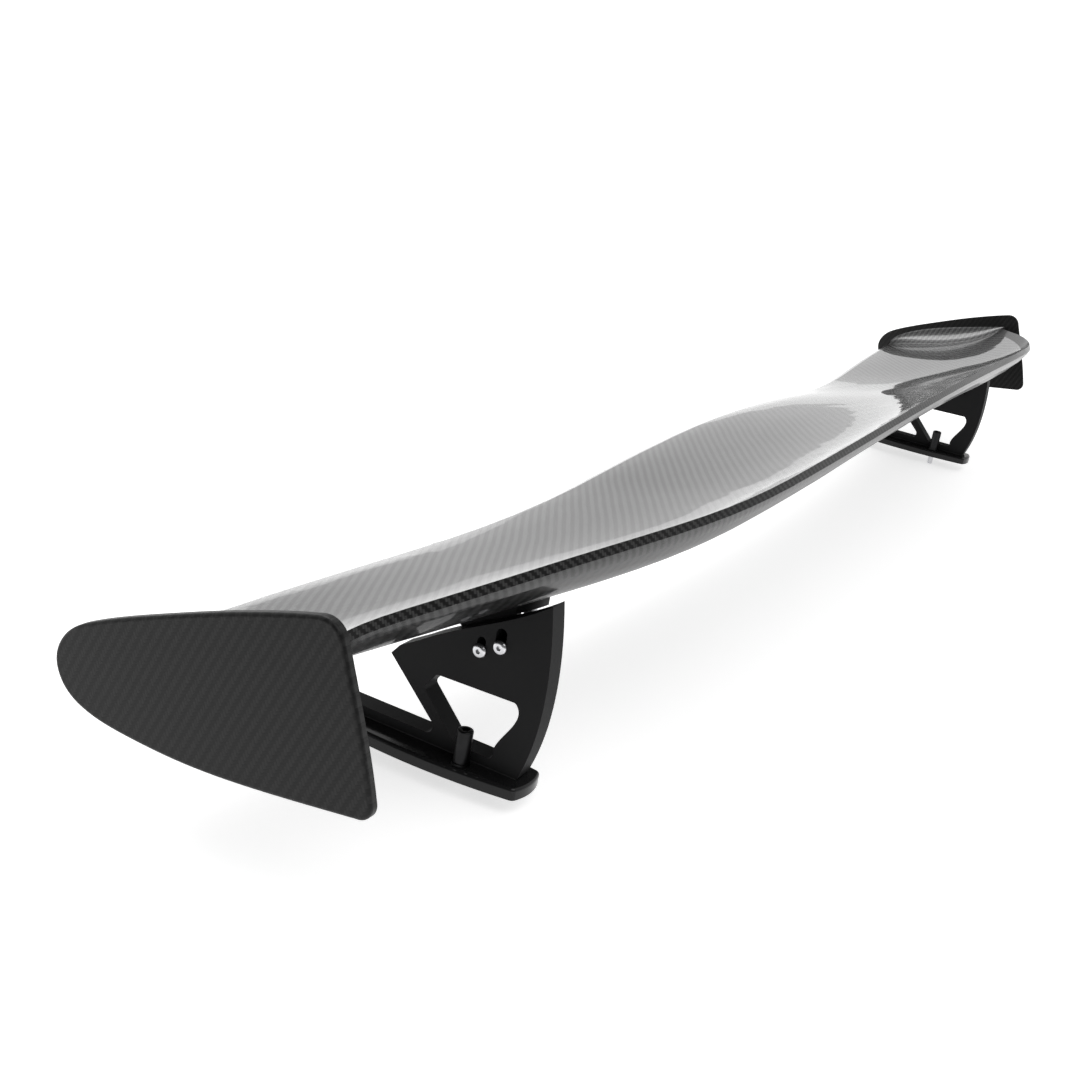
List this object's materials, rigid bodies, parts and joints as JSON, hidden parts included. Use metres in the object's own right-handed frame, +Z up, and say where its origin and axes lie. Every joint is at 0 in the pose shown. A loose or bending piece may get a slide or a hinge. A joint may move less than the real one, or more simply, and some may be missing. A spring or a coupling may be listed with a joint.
{
  "type": "racing rear wing",
  "caption": "Carbon boot-lid rear wing with end plates, on two slotted aluminium pedestals that set its height and angle of attack.",
  "frame": {"origin": "centre of the four mounting studs, on the boot-lid plane under the feet (the foot plates' underside)", "axes": "+X across the car to its right, +Y forward in the driving direction, +Z up, square to the feet"},
  "size_m": [1.54, 0.2682, 0.207],
  "materials": {
    "carbon_gloss": "clear-coated carbon twill",
    "carbon_satin": "satin lacquered carbon twill",
    "carbon_edge": "sealed carbon edge, the weave cut and wrapped",
    "carbon_raw": "raw carbon laminate",
    "foam": "closed-cell structural foam",
    "black_anodised": "black anodised, fine machining",
    "black_gloss": "gloss black powder coat",
    "rubber": "matt rubber sheet",
    "stainless": "stainless",
    "black_steel": "black oxide"
  },
  "bodies": {
    "pedestals": {"left_pedestal": "black_anodised", "right_pedestal": "black_anodised", "left_foot_plate": "black_gloss", "right_foot_plate": "black_gloss", "left_foot_gasket": "rubber", "right_foot_gasket": "rubber", "left_foot_screws": "stainless", "right_foot_screws": "stainless", "mounting_studs": "stainless", "mounting_cap_nuts": "black_steel", "mounting_washers": "black_steel"},
    "height_bolts": {"pivot_bolts": "stainless", "pivot_washers": "stainless", "pivot_nuts": "stainless"},
    "wing": {"upper_skin": "carbon_gloss", "lower_skin": "carbon_gloss", "leading_edge_strip": "carbon_gloss", "trailing_edge_strip": "carbon_edge", "front_core": "foam", "rear_core": "foam", "shear_web": "carbon_raw", "left_tip_rib": "carbon_raw", "right_tip_rib": "carbon_raw", "left_end_fillet": "carbon_gloss", "right_end_fillet": "carbon_gloss", "left_end_plate": "carbon_satin", "right_end_plate": "carbon_satin", "left_bracket": "black_anodised", "right_bracket": "black_anodised", "left_bracket_screws": "stainless", "right_bracket_screws": "stainless", "left_inserts": "black_anodised", "right_inserts": "black_anodised", "clamp_bolts": "stainless", "clamp_washers": "stainless", "clamp_nuts": "stainless"}
  },
  "joints": [
    {"name": "wing_height", "type": "slide", "parent": "pedestals", "child": "height_bolts", "axis": [0, 0, 1], "range_m": [0, 0.006]},
    {"name": "angle_of_attack", "type": "hinge", "parent": "height_bolts", "child": "wing", "pos_m": [0.0141, -0.05025, 0.0815], "axis": [-1, 0, 0], "range_deg": [0, 10]}
  ]
}
